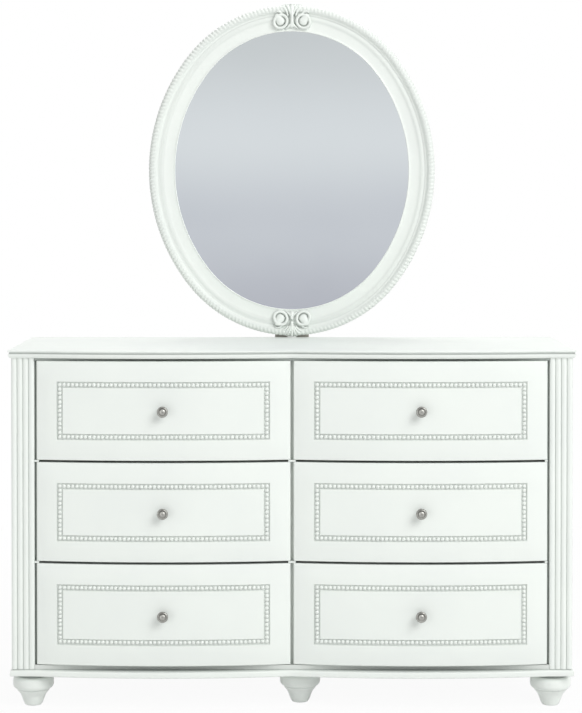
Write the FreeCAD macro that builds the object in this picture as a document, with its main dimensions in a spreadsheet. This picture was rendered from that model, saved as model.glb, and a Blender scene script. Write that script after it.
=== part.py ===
import FreeCAD, Part
import math
import os
import Sketcher

# Double dresser with an oval mirror. Millimetres. +X is the right of someone who faces the dresser,
# +Y runs from its front to its back and +Z is up. The origin is on the floor, under the middle of
# the overall width and depth. Each column of drawers bows out in plan, and the top, the drawer fronts
# and the base board all follow the same two arcs.

doc = FreeCAD.newDocument("dresser_with_mirror")

# ---------------------------------------------------------------- driving dimensions
driving_sizes = {
    "case_width": 1367,
    "top_depth": 465,
    "bow_depth": 23,
    "top_thickness": 19,
    "top_overhang": 8,
    "lip_thickness": 3.6,
    "lip_groove_width": 4.4,
    "lip_groove_depth": 3,
    "top_under_round": 8,
    "base_thickness": 17.5,
    "base_overhang": 4,
    "base_round": 5,
    "post_width": 56,
    "post_depth": 80,
    "reed_count": 4,
    "reed_depth": 3,
    "side_thickness": 18,
    "side_inset": 2,
    "back_thickness": 5,
    "partition_thickness": 18,
    "stile_width": 40,
    "rail_thickness": 18,
    "under_rail_setback": 1.5,
    "under_rail_clearance": 2.5,
    "rear_rail_height": 120,
    "drawer_height": 241.5,
    "bottom_drawer_height": 246.5,
    "drawer_gap": 5.5,
    "under_top_gap": 6.5,
    "bottom_gap": 12.5,
    "side_gap": 5.7,
    "centre_gap": 7.4,
    "stop_gap": 0.5,
    "front_thickness": 20,
    "front_arris": 2.5,
    "border_inset": 50,
    "border_width": 14.5,
    "border_proud": 2.4,
    "box_rear_gap": 37,
    "box_height": 170,
    "box_board": 12,
    "box_clearance": 16.5,
    "bottom_board": 6,
    "bottom_rise": 10,
    "slide_space": 13,
    "channel_height": 36,
    "channel_rear_gap": 2,
    "channel_wall": 1.5,
    "channel_rise": 22,
    "running_gap": 0.3,
    "cleat_height": 60,
    "knob_radius": 13.5,
    "knob_projection": 25,
    "knob_rim": 9,
    "knob_stem_radius": 6.5,
    "foot_height": 82,
    "foot_radius": 50,
    "foot_collar": 29,
    "foot_neck_radius": 38,
    "foot_neck_height": 36,
    "foot_toe_radius": 21,
    "foot_setback": 5,
    "centre_foot_setback": 35,
    "centre_foot_offset": 20,
    "mirror_width": 758,
    "mirror_height": 876,
    "mirror_gap": 6,
    "frame_band": 69,
    "oval_end_radius": 348,
    "rim_width": 20,
    "rim_edge": 13,
    "rim_crest": 22.5,
    "rim_crest_width": 9,
    "rim_inner": 17,
    "bead_depth": 15,
    "bead_width": 14,
    "cove_low": 10.2,
    "cove_belly": 10.8,
    "cove_belly_width": 12,
    "sight_bead_depth": 13.5,
    "sight_bead_width": 7,
    "rebate_width": 10,
    "glass_thickness": 4,
    "glass_cover": 6,
    "backboard_thickness": 5,
    "scroll_depth": 31,
    "scroll_spacing": 60,
    "scroll_radius": 18,
    "scroll_reach": 61,
    "scroll_overhang_top": 8,
    "scroll_overhang_bottom": 3,
    "scroll_low": 15,
    "scroll_waist": 13,
    "scroll_tip": 16,
    "scroll_eye_drop": 41,
    "scroll_edge": 2,
    "seat_gap": 0.3,
    "support_width": 34,
    "support_thickness": 19,
    "support_spacing": 56,
    "support_drop": 146,
    "support_top_inset": 12,
}

sheet = doc.addObject("Spreadsheet::Sheet", "Sizes")
for row, (alias, number) in enumerate(driving_sizes.items(), start=1):
    sheet.set(f"A{row}", alias.replace("_", " "))
    sheet.set(f"B{row}", str(number))
    sheet.setAlias(f"B{row}", alias)
doc.recompute()


class Size:
    """A length as a number and as the expression of the sheet's cells that binds a property to it."""

    def __init__(self, value, text):
        self.value = float(value)
        self.text = text

    def __add__(self, other):
        other = as_size(other)
        return Size(self.value + other.value, f"({self.text} + {other.text})")

    def __radd__(self, other):
        return as_size(other) + self

    def __sub__(self, other):
        other = as_size(other)
        return Size(self.value - other.value, f"({self.text} - {other.text})")

    def __rsub__(self, other):
        return as_size(other) - self

    def __mul__(self, other):
        other = as_size(other)
        return Size(self.value * other.value, f"({self.text} * {other.text})")

    def __rmul__(self, other):
        return as_size(other) * self

    def __truediv__(self, other):
        other = as_size(other)
        return Size(self.value / other.value, f"({self.text} / {other.text})")

    def __neg__(self):
        return Size(-self.value, f"(0 - {self.text})")


def as_size(item):
    if isinstance(item, Size):
        return item
    return Size(item, f"({item})")


def square_root(size):
    return Size(math.sqrt(size.value), f"sqrt({size.text})")


def arc_tangent(size):
    """An angle in degrees from its tangent."""
    return Size(math.degrees(math.atan(size.value)), f"(atan({size.text}) / 1 deg)")


def cell(alias):
    return Size(sheet.get(alias), f"Sizes.{alias}")


# ---------------------------------------------------------------- places worked out from the sizes
half_case = cell("case_width") / 2
ahead_of_posts = cell("bow_depth") + cell("knob_projection")
body_depth = cell("top_depth") - cell("top_overhang")
back_plane = (body_depth + ahead_of_posts - cell("support_thickness")) / 2
top_front = back_plane - cell("top_depth")
post_face = top_front + cell("top_overhang")
post_inner = half_case - cell("post_width")
post_back = post_face + cell("post_depth")
bow_radius = post_inner * post_inner / (8 * cell("bow_depth")) + cell("bow_depth") / 2

base_top = cell("foot_height") + cell("base_thickness")
drawers_high = cell("bottom_drawer_height") + 2 * cell("drawer_height") + 2 * cell("drawer_gap")
case_high = cell("bottom_gap") + drawers_high + cell("under_top_gap")
case_top = base_top + case_high
table_top = case_top + cell("top_thickness")

drawer_width = post_inner - cell("side_gap") - cell("centre_gap") / 2
column_middle = (post_inner - cell("side_gap") + cell("centre_gap") / 2) / 2
rail_front = post_face + cell("front_thickness") + cell("stop_gap")
rail_depth = post_back - rail_front
back_inner = back_plane - cell("back_thickness")
side_inner = half_case - cell("side_inset") - cell("side_thickness")
half_partition = cell("partition_thickness") / 2
half_stile = cell("stile_width") / 2

box_width = post_inner - half_stile - 2 * cell("slide_space")
box_depth = back_inner - post_face - cell("front_thickness") - cell("box_rear_gap")
cleat_depth = back_inner - post_back
box_middle = (post_inner + half_stile) / 2
box_rise = cell("rail_thickness") - cell("bottom_gap") + cell("box_clearance")

row_bottoms = {"bottom": base_top + cell("bottom_gap")}
row_bottoms["middle"] = row_bottoms["bottom"] + cell("bottom_drawer_height") + cell("drawer_gap")
row_bottoms["top"] = row_bottoms["middle"] + cell("drawer_height") + cell("drawer_gap")
row_heights = {
    "bottom": cell("bottom_drawer_height"),
    "middle": cell("drawer_height"),
    "top": cell("drawer_height"),
}
column_sides = {"left": -1, "right": 1}

mirror_half_width = cell("mirror_width") / 2
mirror_half_height = cell("mirror_height") / 2
mirror_low = table_top + cell("mirror_gap")
mirror_middle = mirror_low + mirror_half_height
half_support_spacing = cell("support_spacing") / 2

# The oval is four arcs that meet smoothly: two end arcs of a chosen radius about centres on the upright
# axis, and two side arcs about centres on the level axis. Each joint lies in line with both its centres.
oval_excess = mirror_half_height - mirror_half_width
end_centre = mirror_half_height - cell("oval_end_radius")
side_centre = oval_excess * (2 * end_centre - oval_excess) / (2 * (end_centre - oval_excess))
side_radius = mirror_half_width + side_centre
centre_distance = side_radius - cell("oval_end_radius")
side_arc_angle = 2 * arc_tangent(end_centre / side_centre)


# ---------------------------------------------------------------- tools of the bench
def vector(x, y, z=0.0):
    return FreeCAD.Vector(x, y, z)


def bind(item, prop, size):
    item.setExpression(prop, as_size(size).text)


def place(item, x=0, y=0, z=0):
    """Binds the placement of an object to its place in the dresser."""
    bind(item, "Placement.Base.x", x)
    bind(item, "Placement.Base.y", y)
    bind(item, "Placement.Base.z", z)


def new_body(label):
    body = doc.addObject("PartDesign::Body", label)
    body.Label = label
    return body


def new_sketch(body, role, name, offset=None):
    """A sketch on one of the body's own origin planes, moved along the plane's normal by an offset."""
    sketch = body.newObject("Sketcher::SketchObject", name)
    plane = next(f for f in body.Origin.OriginFeatures if f.Role == role)
    sketch.AttachmentSupport = [(plane, "")]
    sketch.MapMode = "FlatFace"
    if offset is not None:
        bind(sketch, "AttachmentOffset.Base.z", offset)
    return sketch


def fix_datum(sketch, constraint, size):
    """Adds a constraint that carries a number, and binds the number to the sheet."""
    index = sketch.addConstraint(constraint)
    sketch.setExpression(f"Constraints[{index}]", size.text)


def fix_point(sketch, geometry, position, x, y):
    """Holds a point of a sketch at x, y from the sketch's origin."""
    for kind, size, axis in (("DistanceX", x, -2), ("DistanceY", y, -1)):
        size = as_size(size)
        if size.text == as_size(0).text:
            sketch.addConstraint(Sketcher.Constraint("PointOnObject", geometry, position, axis))
        else:
            datum = Sketcher.Constraint(kind, -1, 1, geometry, position, size.value)
            fix_datum(sketch, datum, size)


def arc_between(start, end, radius):
    """The short arc from start to end. It bulges to the right of that way, or to the left if the radius is
    negative."""
    start = vector(*start)
    end = vector(*end)
    chord = end - start
    left = vector(-chord.y, chord.x) / chord.Length
    side = math.copysign(1, radius)
    centre_distance = math.sqrt(radius * radius - chord.Length * chord.Length / 4)
    middle = (start + end) / 2
    apex = middle + left * side * (centre_distance - abs(radius))
    return Part.Arc(start, apex, end)


def near_end(sketch, geometry, point):
    """Which end of a line or arc lies at a point: 1 for its start, 2 for its end."""
    start = sketch.getPoint(geometry, 1)
    return 1 if (start - vector(*point)).Length < 1e-6 else 2


def loop(sketch, corners):
    """A closed outline through its corners, each an x and a y. A third value is the radius of the arc that
    arrives at the corner."""
    points = [(as_size(corner[0]).value, as_size(corner[1]).value) for corner in corners]
    edges = []
    for number, corner in enumerate(corners):
        start = points[number - 1]
        end = points[number]
        if len(corner) == 3:
            curve = arc_between(start, end, as_size(corner[2]).value)
        else:
            curve = Part.LineSegment(vector(*start), vector(*end))
        edges.append(sketch.addGeometry(curve))
    for number, corner in enumerate(corners):
        here = edges[number]
        after = edges[(number + 1) % len(edges)]
        end_here = near_end(sketch, here, points[number])
        start_after = near_end(sketch, after, points[number])
        sketch.addConstraint(Sketcher.Constraint("Coincident", here, end_here, after, start_after))
        fix_point(sketch, here, end_here, corner[0], corner[1])
        if len(corner) == 3:
            radius = as_size(corner[2])
            size = radius if radius.value > 0 else -radius
            fix_datum(sketch, Sketcher.Constraint("Radius", here, size.value), size)


def rectangle(sketch, low_x, low_y, high_x, high_y):
    loop(sketch, [(low_x, low_y), (high_x, low_y), (high_x, high_y), (low_x, high_y)])


def circle(sketch, x, y, radius):
    centre = vector(as_size(x).value, as_size(y).value)
    geometry = sketch.addGeometry(Part.Circle(centre, vector(0, 0, 1), radius.value))
    fix_point(sketch, geometry, 3, x, y)
    fix_datum(sketch, Sketcher.Constraint("Radius", geometry, radius.value), radius)


def pad(body, sketch, length, reverse=False):
    feature = body.newObject("PartDesign::Pad", f"{sketch.Name}_pad")
    feature.Profile = sketch
    bind(feature, "Length", length)
    feature.Reversed = reverse
    doc.recompute()
    return feature


def cut_through(body, sketch):
    """Cuts a sketch through the whole body, both ways, and checks that it took something away."""
    before = body.Shape.Volume
    feature = body.newObject("PartDesign::Pocket", f"{sketch.Name}_pocket")
    feature.Profile = sketch
    feature.Type = "ThroughAll"
    feature.Midplane = True
    doc.recompute()
    if not body.Shape.Volume < before:
        raise RuntimeError(f"{feature.Name} cuts nothing")
    return feature


def turn(body, sketch, axis):
    """Revolves a half profile once about an axis of its sketch."""
    feature = body.newObject("PartDesign::Revolution", f"{sketch.Name}_revolution")
    feature.Profile = sketch
    feature.ReferenceAxis = (sketch, [axis])
    feature.Angle = 360
    doc.recompute()
    return feature


def edge_names(feature, chosen):
    """The names of the feature's edges for which chosen(edge) holds."""
    return [f"Edge{number}" for number, edge in enumerate(feature.Shape.Edges, start=1) if chosen(edge)]


def round_edges(body, feature, radius, chosen):
    fillet = body.newObject("PartDesign::Fillet", f"{feature.Name}_round")
    fillet.Base = (feature, edge_names(feature, chosen))
    bind(fillet, "Radius", radius)
    doc.recompute()
    return fillet


def board(label, width, depth, height, x, y, z):
    """A flat board by its size and its lowest corner."""
    box = doc.addObject("Part::Box", label)
    box.Label = label
    bind(box, "Length", width)
    bind(box, "Width", depth)
    bind(box, "Height", height)
    place(box, x, y, z)
    return box


def group(label, members):
    compound = doc.addObject("Part::Compound", label)
    compound.Label = label
    compound.Links = members
    return compound


# ---------------------------------------------------------------- the double bow
def double_bow(sketch, side, front, back):
    """The plan of a board as wide as two sides. Its front runs straight over the posts and bows over each
    column of drawers."""
    loop(
        sketch,
        [
            (-side, back),
            (-side, front),
            (-post_inner, front),
            (0, front, bow_radius),
            (post_inner, front, bow_radius),
            (side, front),
            (side, back),
        ],
    )


def bow_forward(half_chord, proud=0):
    """How far the bow stands ahead of its chord's line at a distance from the column's middle, on an arc
    that may stand proud of the drawer faces."""
    radius = bow_radius + proud
    return square_root(radius * radius - half_chord * half_chord) - bow_radius + cell("bow_depth")


def on_level_outside(level, back):
    """Picks the edges of a board at one height, except the one along its back."""

    def chosen(edge):
        box = edge.BoundBox
        flat = abs(box.ZMin - level) < 1e-3 and abs(box.ZMax - level) < 1e-3
        return flat and box.YMin < back - 1

    return chosen


def make_top():
    """Top slab: a rounded under-mould, a narrow groove and a thin lip, all round but the back."""
    body = new_body("top_slab")
    side = half_case + cell("top_overhang")
    lower_thickness = cell("top_thickness") - cell("lip_thickness") - cell("lip_groove_width")
    groove_top = lower_thickness + cell("lip_groove_width")
    groove = cell("lip_groove_depth")
    lower = new_sketch(body, "XY_Plane", "top_lower")
    double_bow(lower, side, top_front, back_plane)
    pad(body, lower, lower_thickness)
    neck = new_sketch(body, "XY_Plane", "top_neck", lower_thickness)
    double_bow(neck, side - groove, top_front + groove, back_plane)
    pad(body, neck, cell("lip_groove_width"))
    lip = new_sketch(body, "XY_Plane", "top_lip", groove_top)
    double_bow(lip, side, top_front, back_plane)
    lip_pad = pad(body, lip, cell("lip_thickness"))
    round_edges(body, lip_pad, cell("top_under_round"), on_level_outside(0, back_plane.value))
    place(body, z=case_top)
    return body


def make_base():
    """Base board under the case, with a rounded edge that follows the double bow."""
    body = new_body("base_board")
    side = half_case + cell("base_overhang")
    front = post_face - cell("base_overhang")
    plan = new_sketch(body, "XY_Plane", "base_plan")
    double_bow(plan, side, front, back_plane)
    base_pad = pad(body, plan, cell("base_thickness"))
    thickness = cell("base_thickness").value
    round_edges(body, base_pad, cell("base_round"), on_level_outside(thickness, back_plane.value))
    place(body, z=cell("foot_height"))
    return body


# ---------------------------------------------------------------- case
def make_posts():
    """Corner posts. Upright reeds stand side by side across the face of each."""
    posts = []
    reeds = int(cell("reed_count").value)
    pitch = cell("post_width") / reeds
    reed = cell("reed_depth")
    reed_radius = pitch * pitch / (8 * reed) + reed / 2
    for side, sign in column_sides.items():
        body = new_body(f"corner_post_{side}")
        plan = new_sketch(body, "XY_Plane", f"post_plan_{side}")
        corners = [(0, cell("post_depth")), (0, reed)]
        corners += [(pitch * number, reed, reed_radius) for number in range(1, reeds + 1)]
        corners.append((cell("post_width"), cell("post_depth")))
        loop(plan, corners)
        pad(body, plan, case_high)
        place(body, -half_case if sign < 0 else post_inner, post_face, base_top)
        posts.append(body)
    return posts


def make_sides():
    sides = []
    for side, sign in column_sides.items():
        outer = half_case - cell("side_inset")
        low_x = -outer if sign < 0 else outer - cell("side_thickness")
        depth = back_plane - post_back
        label = f"side_panel_{side}"
        sides.append(board(label, cell("side_thickness"), depth, case_high, low_x, post_back, base_top))
    return sides


def make_inner_case():
    """Centre stile and partition, the rails between and under the drawers, the rear rail and the back."""
    stile = board(
        "centre_stile", cell("stile_width"), rail_depth, case_high, -half_stile, rail_front, base_top
    )
    partition_depth = back_inner - post_back
    thickness = cell("partition_thickness")
    partition = board(
        "centre_partition", thickness, partition_depth, case_high, -half_partition, post_back, base_top
    )
    rail = cell("rail_thickness")
    seam = (rail + cell("drawer_gap")) / 2
    levels = {
        "bottom": base_top,
        "lower": row_bottoms["middle"] - seam,
        "upper": row_bottoms["top"] - seam,
        "top": case_top - rail,
    }
    span = post_inner - half_stile
    rails = []
    rear_rails = []
    for side, sign in column_sides.items():
        low_x = -post_inner if sign < 0 else half_stile
        for level, z in levels.items():
            rails.append(board(f"rail_{level}_{side}", span, rail_depth, rail, low_x, rail_front, z))
        rear_span = side_inner - half_partition
        rear_x = -side_inner if sign < 0 else half_partition
        rear_y = back_inner - rail
        rear_z = case_top - cell("rear_rail_height")
        rear_height = cell("rear_rail_height")
        rear_rails.append(
            board(f"rail_rear_{side}", rear_span, rail, rear_height, rear_x, rear_y, rear_z)
        )
    under_high = cell("bottom_gap") - cell("under_rail_clearance")
    under_front = post_face + cell("under_rail_setback")
    under_depth = rail_front - under_front
    rails.append(
        board("rail_under", 2 * post_inner, under_depth, under_high, -post_inner, under_front, base_top)
    )
    back = board(
        "back_panel", 2 * side_inner, cell("back_thickness"), case_high, -side_inner, back_inner, base_top
    )
    return [stile, partition, group("front_rails", rails), group("rear_rails", rear_rails), back]


# ---------------------------------------------------------------- feet
def make_foot(label, x, y):
    """A turned bun foot: collar, swelling and a long tapered neck."""
    body = new_body(label)
    profile = new_sketch(body, "XZ_Plane", f"{label}_profile")
    loop(
        profile,
        [
            (0, 0),
            (cell("foot_toe_radius"), 0),
            (cell("foot_neck_radius"), cell("foot_neck_height")),
            (cell("foot_radius"), cell("foot_height") - cell("foot_collar")),
            (cell("foot_radius"), cell("foot_height")),
            (0, cell("foot_height")),
        ],
    )
    turn(body, profile, "V_Axis")
    place(body, x, y, 0)
    return body


def make_feet():
    """A foot under each corner, flush with the base board's ends, and one near the middle of the front."""
    corner_x = half_case + cell("base_overhang") - cell("foot_radius")
    front_y = post_face + cell("foot_radius") + cell("foot_setback")
    rear_y = back_plane - cell("foot_radius") - cell("foot_setback")
    middle_y = post_face + cell("foot_radius") + cell("centre_foot_setback")
    places = {
        "foot_front_left": (-corner_x, front_y),
        "foot_front_right": (corner_x, front_y),
        "foot_front_centre": (cell("centre_foot_offset"), middle_y),
        "foot_rear_left": (-corner_x, rear_y),
        "foot_rear_right": (corner_x, rear_y),
    }
    return group("feet", [make_foot(label, x, y) for label, (x, y) in places.items()])


# ---------------------------------------------------------------- drawer slides fixed to the case
def channel_bottom(row):
    return row_bottoms[row] + box_rise + cell("channel_rise")


def make_case_slides():
    """Wooden cleats that bring the slides flush with the posts and the stile, and the steel channels."""
    cleats = []
    channels = []
    lift = (cell("cleat_height") - cell("channel_height")) / 2
    wall = cell("channel_wall")
    high = cell("channel_height")
    reach = cell("slide_space") - cell("running_gap")
    length = cleat_depth - cell("channel_rear_gap")
    for row in row_bottoms:
        low = channel_bottom(row)
        for side, sign in column_sides.items():
            for part, near, far in (
                ("inner", half_partition, half_stile),
                ("outer", side_inner, post_inner),
            ):
                name = f"{row}_{side}_{part}"
                thick = far - near if part == "inner" else near - far
                low_x = near if part == "inner" else far
                cleat_x = low_x if sign > 0 else -(low_x + thick)
                height = cell("cleat_height")
                cleats.append(
                    board(f"cleat_{name}", thick, cleat_depth, height, cleat_x, post_back, low - lift)
                )
                body = new_body(f"channel_{name}")
                section = new_sketch(body, "XZ_Plane", f"channel_section_{name}")
                outline = [
                    (0, 0),
                    (reach, 0),
                    (reach, wall),
                    (wall, wall),
                    (wall, high - wall),
                    (reach, high - wall),
                    (reach, high),
                    (0, high),
                ]
                opens_right = (sign > 0) == (part == "inner")
                if not opens_right:
                    outline = [(-x if x else 0, z) for x, z in reversed(outline)]
                loop(section, outline)
                pad(body, section, length, reverse=True)
                place(body, far if sign > 0 else -far, post_back, low)
                channels.append(body)
    return [group("runner_cleats", cleats), group("case_runners", channels)]


# ---------------------------------------------------------------- drawers
def make_drawer_front(name, height):
    """A front with a flat back and a bowed face, its arris taken off all round."""
    body = new_body(f"{name}_drawer_front")
    half = drawer_width / 2
    forward = bow_forward(half)
    plan = new_sketch(body, "XY_Plane", f"{name}_front_plan")
    thickness = cell("front_thickness")
    loop(plan, [(-half, thickness), (-half, -forward), (half, -forward, bow_radius), (half, thickness)])
    blank = pad(body, plan, height)
    face_y = -forward.value

    def on_face(edge):
        longest = max(edge.BoundBox.XLength, edge.BoundBox.ZLength)
        return edge.BoundBox.YMax < face_y + 1e-3 and longest > half.value / 4

    arris = body.newObject("PartDesign::Chamfer", f"{name}_front_arris")
    arris.Base = (blank, edge_names(blank, on_face))
    bind(arris, "Size", cell("front_arris"))
    doc.recompute()
    return body


def make_border(name, height):
    """The raised border: a rectangle of moulding that follows the bow of the face."""
    body = new_body(f"{name}_bead_border")
    half = drawer_width / 2 - cell("border_inset")
    proud = cell("border_proud")
    near = -bow_forward(half)
    far = -bow_forward(half, proud)
    plan = new_sketch(body, "XY_Plane", f"{name}_border_plan", cell("border_inset"))
    loop(plan, [(-half, near, -bow_radius), (-half, far), (half, far, bow_radius + proud), (half, near)])
    pad(body, plan, height - 2 * cell("border_inset"))
    window = new_sketch(body, "XZ_Plane", f"{name}_border_window")
    inner_half = half - cell("border_width")
    inner_low = cell("border_inset") + cell("border_width")
    rectangle(window, -inner_half, inner_low, inner_half, height - inner_low)
    cut_through(body, window)
    return body


def make_knob(name):
    """A turned knob: a stem that stands on the drawer front, and a round cap."""
    knob = new_body(f"{name}_knob")
    profile = new_sketch(knob, "XY_Plane", f"{name}_knob_profile")
    tip = cell("knob_projection")
    rim = tip - cell("knob_rim")
    stem = cell("knob_stem_radius")
    cap = cell("knob_radius")
    loop(profile, [(0, 0), (0, -tip), (cap, -tip), (cap, -rim), (stem, -rim), (stem, 0)])
    turn(knob, profile, "V_Axis")
    return knob


def make_box(name, centre, low):
    """The drawer's box: two sides, a back and a sub-front behind the front, and a bottom between them."""
    thick = cell("box_board")
    inner = box_width - 2 * thick
    high = cell("box_height")
    start = post_face + cell("front_thickness")
    low_x = centre - box_width / 2
    high_x = low_x + box_width - thick
    z = low + box_rise
    left = board(f"{name}_box_left", thick, box_depth, high, low_x, start, z)
    right = board(f"{name}_box_right", thick, box_depth, high, high_x, start, z)
    back_y = start + box_depth - thick
    back = board(f"{name}_box_back", inner, thick, high, low_x + thick, back_y, z)
    front = board(f"{name}_box_front", inner, thick, high, low_x + thick, start, z)
    box = group(f"{name}_drawer_box", [left, right, back, front])
    label = f"{name}_drawer_bottom"
    bottom_z = z + cell("bottom_rise")
    thin = cell("bottom_board")
    depth = box_depth - 2 * thick
    bottom = board(label, inner, depth, thin, low_x + thick, start + thick, bottom_z)
    return box, bottom


def make_drawer_runners(name, centre, low):
    """The bars on the box's sides that run inside the case's channels."""
    gap = cell("running_gap")
    wall = cell("channel_wall")
    thick = cell("slide_space") - wall - gap
    high = cell("channel_height") - 2 * wall - 2 * gap
    length = box_depth - 2 * wall
    z = low + box_rise + cell("channel_rise") + wall + gap
    start = post_face + cell("front_thickness") + wall
    half = box_width / 2
    left = board(f"{name}_runner_left", thick, length, high, centre - half - thick, start, z)
    right = board(f"{name}_runner_right", thick, length, high, centre + half, start, z)
    return group(f"{name}_drawer_runners", [left, right])


def make_drawer(row, side):
    """One drawer's six nodes, in its bay."""
    name = f"{row}_{side}"
    height = row_heights[row]
    sign = column_sides[side]
    middle = column_middle if sign > 0 else -column_middle
    centre = box_middle if sign > 0 else -box_middle
    low = row_bottoms[row]
    front = make_drawer_front(name, height)
    border = make_border(name, height)
    for piece in (front, border):
        place(piece, middle, post_face, low)
    knob = make_knob(name)
    place(knob, middle, post_face - cell("bow_depth"), low + height / 2)
    box, bottom = make_box(name, centre, low)
    return [front, border, knob, box, bottom, make_drawer_runners(name, centre, low)]


# ---------------------------------------------------------------- mirror
def make_supports():
    """Two battens up the back of the case and the mirror, which carry the mirror clear of the top."""
    low = table_top - cell("support_drop")
    high = mirror_low + cell("mirror_height") - cell("support_top_inset")
    supports = []
    for side, sign in column_sides.items():
        low_x = half_support_spacing * sign - cell("support_width") / 2
        width = cell("support_width")
        thickness = cell("support_thickness")
        label = f"mirror_support_{side}"
        supports.append(board(label, width, thickness, high - low, low_x, back_plane, low))
    return supports


def moulding_section(sketch, outer, to_sketch):
    """The frame's moulding from its outer edge inwards: a high rim, a low flat bead, a long hollow and a
    sight bead over the glass, with the rebate behind. to_sketch turns a distance from the oval's centre
    and a height over the frame's back into sketch coordinates."""
    inner = outer - cell("frame_band")
    rim = outer - cell("rim_width")
    bead_in = rim - cell("bead_width")
    sight = inner + cell("sight_bead_width")
    rebate_depth = cell("glass_thickness") + cell("backboard_thickness")
    rebate = inner + cell("rebate_width")
    rim_crest = outer - (cell("rim_width") - cell("rim_crest_width")) / 2
    corners = [
        (outer, 0),
        (outer, cell("rim_edge")),
        (rim_crest, cell("rim_crest")),
        (rim_crest - cell("rim_crest_width"), cell("rim_crest")),
        (rim, cell("rim_inner")),
        (rim, cell("bead_depth")),
        (bead_in, cell("bead_depth")),
        (bead_in - cell("cove_belly_width"), cell("cove_belly")),
        (sight, cell("cove_low")),
        (sight, cell("sight_bead_depth")),
        (inner, cell("sight_bead_depth")),
        (inner, rebate_depth),
        (rebate, rebate_depth),
        (rebate, 0),
    ]
    loop(sketch, [to_sketch(*corner) for corner in corners])


def sweep_arc(body, sketch, centre_start, centre_end, angle):
    """Turns a section about a line through an arc's centre, half the angle to each side."""
    ends = []
    for point in (centre_start, centre_end):
        ends.append(vector(as_size(point[0]).value, as_size(point[1]).value))
    axis = sketch.addGeometry(Part.LineSegment(*ends), True)
    fix_point(sketch, axis, 1, *centre_start)
    fix_point(sketch, axis, 2, *centre_end)
    feature = body.newObject("PartDesign::Revolution", f"{sketch.Name}_arc")
    feature.Profile = sketch
    feature.ReferenceAxis = (sketch, ["Axis0"])
    feature.Midplane = True
    bind(feature, "Angle", angle)
    doc.recompute()
    return feature


def make_mirror_frame():
    """The oval frame: its moulding swept along the two side arcs and the two end arcs."""
    body = new_body("mirror_frame")
    depth = cell("rim_crest")
    end_angle = 180 - side_arc_angle
    for side, sign in column_sides.items():
        section = new_sketch(body, "XY_Plane", f"moulding_{side}")
        moulding_section(section, mirror_half_width, lambda out, up: (out * sign, -up))
        centre = side_centre * -sign
        sweep_arc(body, section, (centre, 0), (centre, depth), side_arc_angle)
    for end, sign in (("bottom", -1), ("top", 1)):
        section = new_sketch(body, "YZ_Plane", f"moulding_{end}")
        moulding_section(section, mirror_half_height, lambda out, up: (-up, out * sign))
        centre = end_centre * sign
        sweep_arc(body, section, (0, centre), (depth, centre), end_angle)
    place(body, 0, back_plane, mirror_middle)
    return body


def make_oval_plate(label, thickness, front):
    """A flat oval plate in the frame's rebate. Its front face stands ahead of the frame's back."""
    body = new_body(label)
    plan = new_sketch(body, "XZ_Plane", f"{label}_plan")
    reach = cell("frame_band") - cell("glass_cover")
    side = side_radius - reach
    end = cell("oval_end_radius") - reach
    joint_x = side * side_centre / centre_distance - side_centre
    joint_z = side * end_centre / centre_distance
    corners = [(joint_x, joint_z, side), (-joint_x, joint_z, end)]
    corners += [(-joint_x, -joint_z, side), (joint_x, -joint_z, end)]
    loop(plan, corners)
    pad(body, plan, thickness)
    place(body, 0, back_plane - front + thickness, mirror_middle)
    return body


def make_scroll(end):
    """A carved scroll over the frame: a waisted stem between two volutes. Its back lies on the rim and
    on the bead, and slopes over the cove on the inside."""
    body = new_body(f"mirror_scroll_{end}")
    sign = 1 if end == "top" else -1
    face = cell("scroll_depth")
    edge = mirror_half_height
    seat = cell("bead_depth")
    gap = cell("seat_gap")
    outer = edge + cell(f"scroll_overhang_{end}")
    rim = edge - cell("rim_width")
    step = rim - cell("scroll_edge")
    bead_in = rim - cell("bead_width")
    inner = edge - cell("scroll_reach")
    section = new_sketch(body, "YZ_Plane", f"scroll_{end}_section")
    corners = [
        (outer, face),
        (outer, cell("rim_crest") + gap),
        (step, cell("rim_crest") + gap),
        (step, seat),
        (bead_in - cell("scroll_edge"), seat),
        (inner, cell("scroll_low")),
        (inner, cell("scroll_low") + cell("scroll_edge")),
        (bead_in - cell("cove_belly_width") / 2, face),
    ]
    loop(section, [(-up, out * sign) for out, up in corners])
    stem = body.newObject("PartDesign::Pad", f"scroll_{end}_stem")
    stem.Profile = section
    stem.Midplane = True
    bind(stem, "Length", 2 * cell("scroll_tip"))
    doc.recompute()
    waist = new_sketch(body, "XZ_Plane", f"scroll_{end}_waist")
    tip = cell("scroll_tip")
    thin = cell("scroll_waist")
    eye = edge - cell("scroll_eye_drop")
    for side in (-1, 1):
        far = 2 * tip * side
        loop(
            waist,
            [
                (thin * side, eye * sign),
                (tip * side, outer * sign),
                (far, outer * sign),
                (far, inner * sign),
                (tip * side, inner * sign),
            ],
        )
    cut_through(body, waist)
    volutes = new_sketch(body, "XZ_Plane", f"scroll_{end}_volutes", seat)
    for x in (-cell("scroll_spacing") / 2, cell("scroll_spacing") / 2):
        circle(volutes, x, eye * sign, cell("scroll_radius"))
    pad(body, volutes, face - seat - cell("scroll_edge"))
    place(body, 0, back_plane, mirror_middle)
    return body


# ---------------------------------------------------------------- the whole dresser
rebate_depth = cell("glass_thickness") + cell("backboard_thickness")
pieces = [make_top(), make_base()]
pieces += make_posts()
pieces += make_sides()
pieces += make_inner_case()
pieces.append(make_feet())
pieces += make_case_slides()
for drawer_row in row_bottoms:
    for drawer_side in column_sides:
        pieces += make_drawer(drawer_row, drawer_side)
pieces += make_supports()
pieces.append(make_mirror_frame())
pieces.append(make_oval_plate("mirror_glass", cell("glass_thickness"), rebate_depth))
pieces.append(make_oval_plate("mirror_backboard", cell("backboard_thickness"), cell("backboard_thickness")))
pieces += [make_scroll("top"), make_scroll("bottom")]
doc.recompute()

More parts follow.
